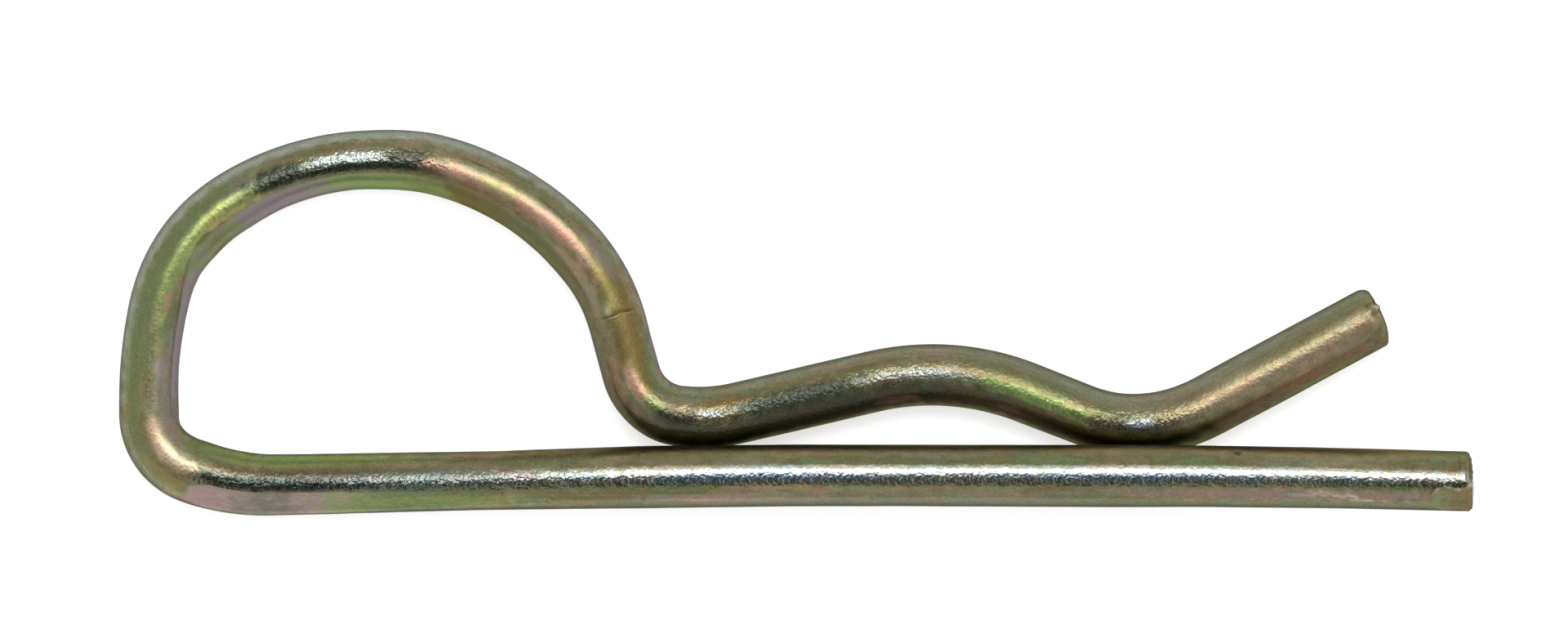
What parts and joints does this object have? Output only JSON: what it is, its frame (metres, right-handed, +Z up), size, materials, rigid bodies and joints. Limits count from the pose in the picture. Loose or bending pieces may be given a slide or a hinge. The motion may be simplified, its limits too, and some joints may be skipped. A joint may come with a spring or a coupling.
{
  "type": "hitch r clip pin",
  "caption": "Spring wire clip with a straight leg for a cross hole, a sprung arm with a hump that grips a round pin, a flared tip and a finger loop.",
  "frame": {"origin": "middle of the overall footprint, on the surface the clip lies on", "axes": "+X along the straight leg towards its free end, +Y from the leg towards the crown of the finger loop, +Z up, square to the plane the wire is bent in"},
  "size_m": [0.088, 0.025, 0.007],
  "materials": {
    "zinc_wire": "spring steel wire, satin, plated with yellow passivated zinc: olive and khaki with iridescent green, pink and gold bands, lightly scuffed"
  },
  "bodies": {
    "root": {"r_clip_wire": "zinc_wire"}
  },
  "joints": []
}
